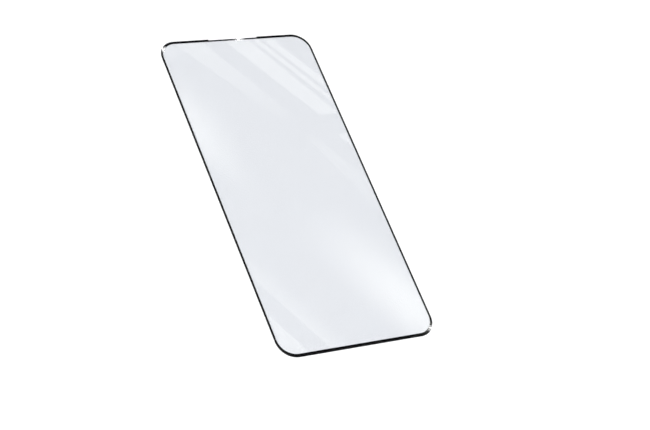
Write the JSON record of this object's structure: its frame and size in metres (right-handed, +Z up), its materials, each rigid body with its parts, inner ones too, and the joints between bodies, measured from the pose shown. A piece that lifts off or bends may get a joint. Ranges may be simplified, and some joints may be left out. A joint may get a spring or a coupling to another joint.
{
  "type": "phone screen protector",
  "caption": "Thin tempered-glass screen protector with round corners, a domed edge, a shallow earpiece notch, a black printed border and a clear adhesive film underneath.",
  "frame": {"origin": "middle of the underside, on the adhesive face", "axes": "+X across the width, +Y along the length towards the earpiece end, +Z up, out of the glass's outer face"},
  "size_m": [0.0684, 0.144, 0.0005],
  "materials": {
    "tempered_glass": "fire-polished clear tempered glass with a ground and polished edge",
    "black_ink": "screen-printed black ink, glossy where it is seen through the glass",
    "clear_adhesive": "clear soft silicone adhesive, smooth"
  },
  "bodies": {
    "root": {"adhesive_film": "clear_adhesive", "border_print": "black_ink", "glass_sheet": "tempered_glass"}
  },
  "joints": []
}
